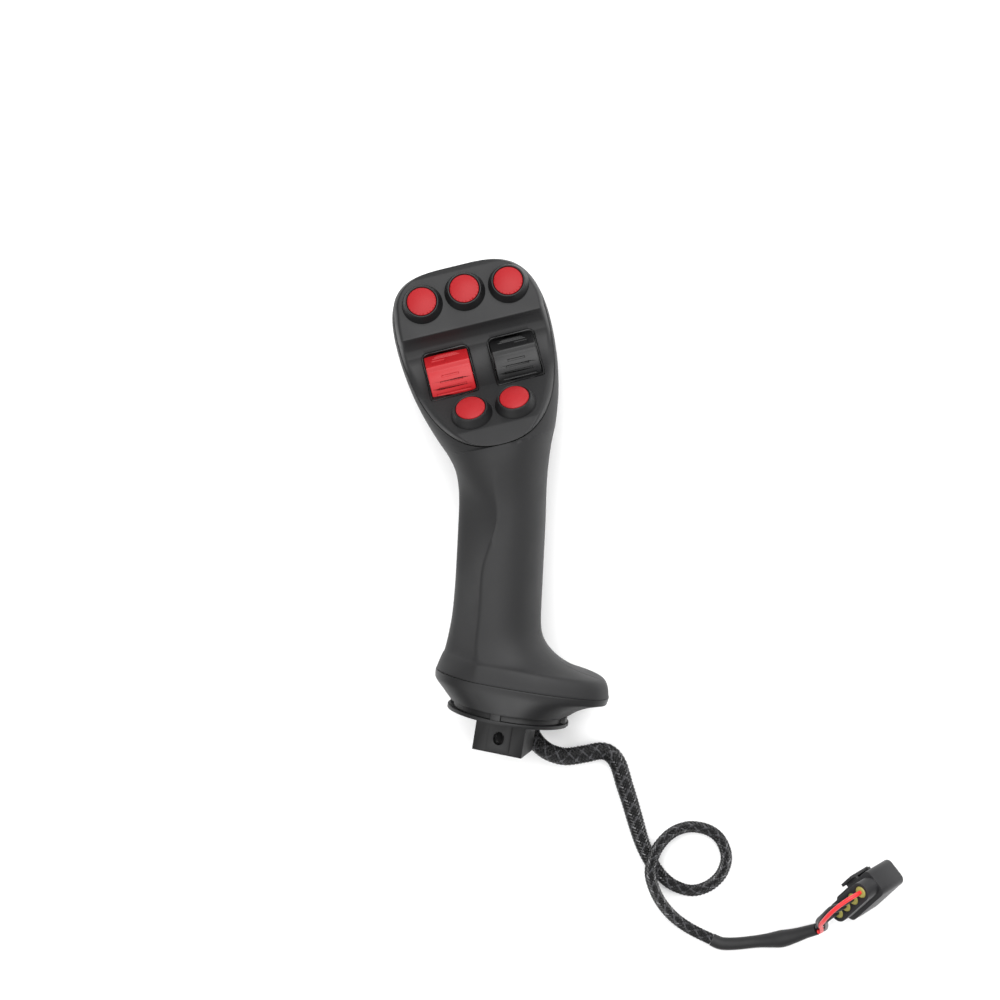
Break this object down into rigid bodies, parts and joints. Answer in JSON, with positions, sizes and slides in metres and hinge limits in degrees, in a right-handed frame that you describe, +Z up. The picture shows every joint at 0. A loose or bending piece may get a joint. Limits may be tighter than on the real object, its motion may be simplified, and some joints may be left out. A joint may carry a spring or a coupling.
{
  "type": "industrial joystick",
  "caption": "Industrial joystick grip with red push buttons and two thumb rollers on a canted head, a flanged base with a square mounting block, and a braided lead to a sealed connector.",
  "frame": {"origin": "middle of the handle's box on the surface that it lies on", "axes": "+X across the handle to the palm ledge, +Y along the lever toward the head, +Z up out of the face"},
  "size_m": [0.2765, 0.3042, 0.0646],
  "materials": {
    "base": "matte",
    "body": "matte",
    "braid": "matte",
    "cap": "satin",
    "guard": "matte",
    "inner": "matte",
    "nickel": "satin",
    "plate": "satin",
    "roller_black": "glossy",
    "roller_red": "glossy",
    "seal": "matte",
    "shrink": "matte",
    "steel": "satin",
    "terminal": "satin",
    "wire_dark": "satin",
    "wire_red": "satin"
  },
  "bodies": {
    "handle": {"front_shell": "body", "rear_shell": "body", "face_plate": "plate", "guard_1": "guard", "guard_2": "guard", "guard_3": "guard", "guard_4": "guard", "guard_5": "guard", "switch_1": "inner", "switch_2": "inner", "switch_3": "inner", "switch_4": "inner", "switch_5": "inner", "button_nuts": "nickel", "shell_screws": "steel", "roller_frame_left": "inner", "roller_frame_right": "inner", "axle_left": "steel", "axle_right": "steel", "collar": "base", "hub": "base", "base_screws": "steel", "braided_sleeve": "braid", "heat_shrink": "shrink", "wire_1": "wire_dark", "wire_2": "wire_dark", "wire_3": "wire_dark", "wire_4": "wire_red", "connector": "base", "seals": "seal", "terminals": "terminal"},
    "button_1": {"cap_1": "cap"},
    "button_2": {"cap_2": "cap"},
    "button_3": {"cap_3": "cap"},
    "button_4": {"cap_4": "cap"},
    "button_5": {"cap_5": "cap"},
    "roller_left_body": {"roller_left": "roller_red"},
    "roller_right_body": {"roller_right": "roller_black"}
  },
  "joints": [
    {"name": "press_1", "type": "slide", "parent": "handle", "child": "button_1", "axis": [0.0927, -0.6722, -0.7345], "range_m": [0, 0.0015], "stiffness_N_per_m": 900, "springref_m": -0.002},
    {"name": "press_2", "type": "slide", "parent": "handle", "child": "button_2", "axis": [0.0927, -0.6722, -0.7345], "range_m": [0, 0.0015], "stiffness_N_per_m": 900, "springref_m": -0.002},
    {"name": "press_3", "type": "slide", "parent": "handle", "child": "button_3", "axis": [-0.1073, -0.3316, -0.9373], "range_m": [0, 0.0015], "stiffness_N_per_m": 900, "springref_m": -0.002},
    {"name": "press_4", "type": "slide", "parent": "handle", "child": "button_4", "axis": [-0.1073, -0.3316, -0.9373], "range_m": [0, 0.0015], "stiffness_N_per_m": 900, "springref_m": -0.002},
    {"name": "press_5", "type": "slide", "parent": "handle", "child": "button_5", "axis": [-0.1073, -0.3316, -0.9373], "range_m": [0, 0.0015], "stiffness_N_per_m": 900, "springref_m": -0.002},
    {"name": "turn_left", "type": "hinge", "parent": "handle", "child": "roller_left_body", "pos_m": [-0.03141, 0.05389, 0.03414], "axis": [0.8928, 0.3827, -0.2376], "range_deg": [-28, 28], "stiffness_Nm_per_rad": 0.03},
    {"name": "turn_right", "type": "hinge", "parent": "handle", "child": "roller_right_body", "pos_m": [-0.00355, 0.06583, 0.02673], "axis": [0.8928, 0.3827, -0.2376], "range_deg": [-28, 28], "stiffness_Nm_per_rad": 0.03}
  ]
}
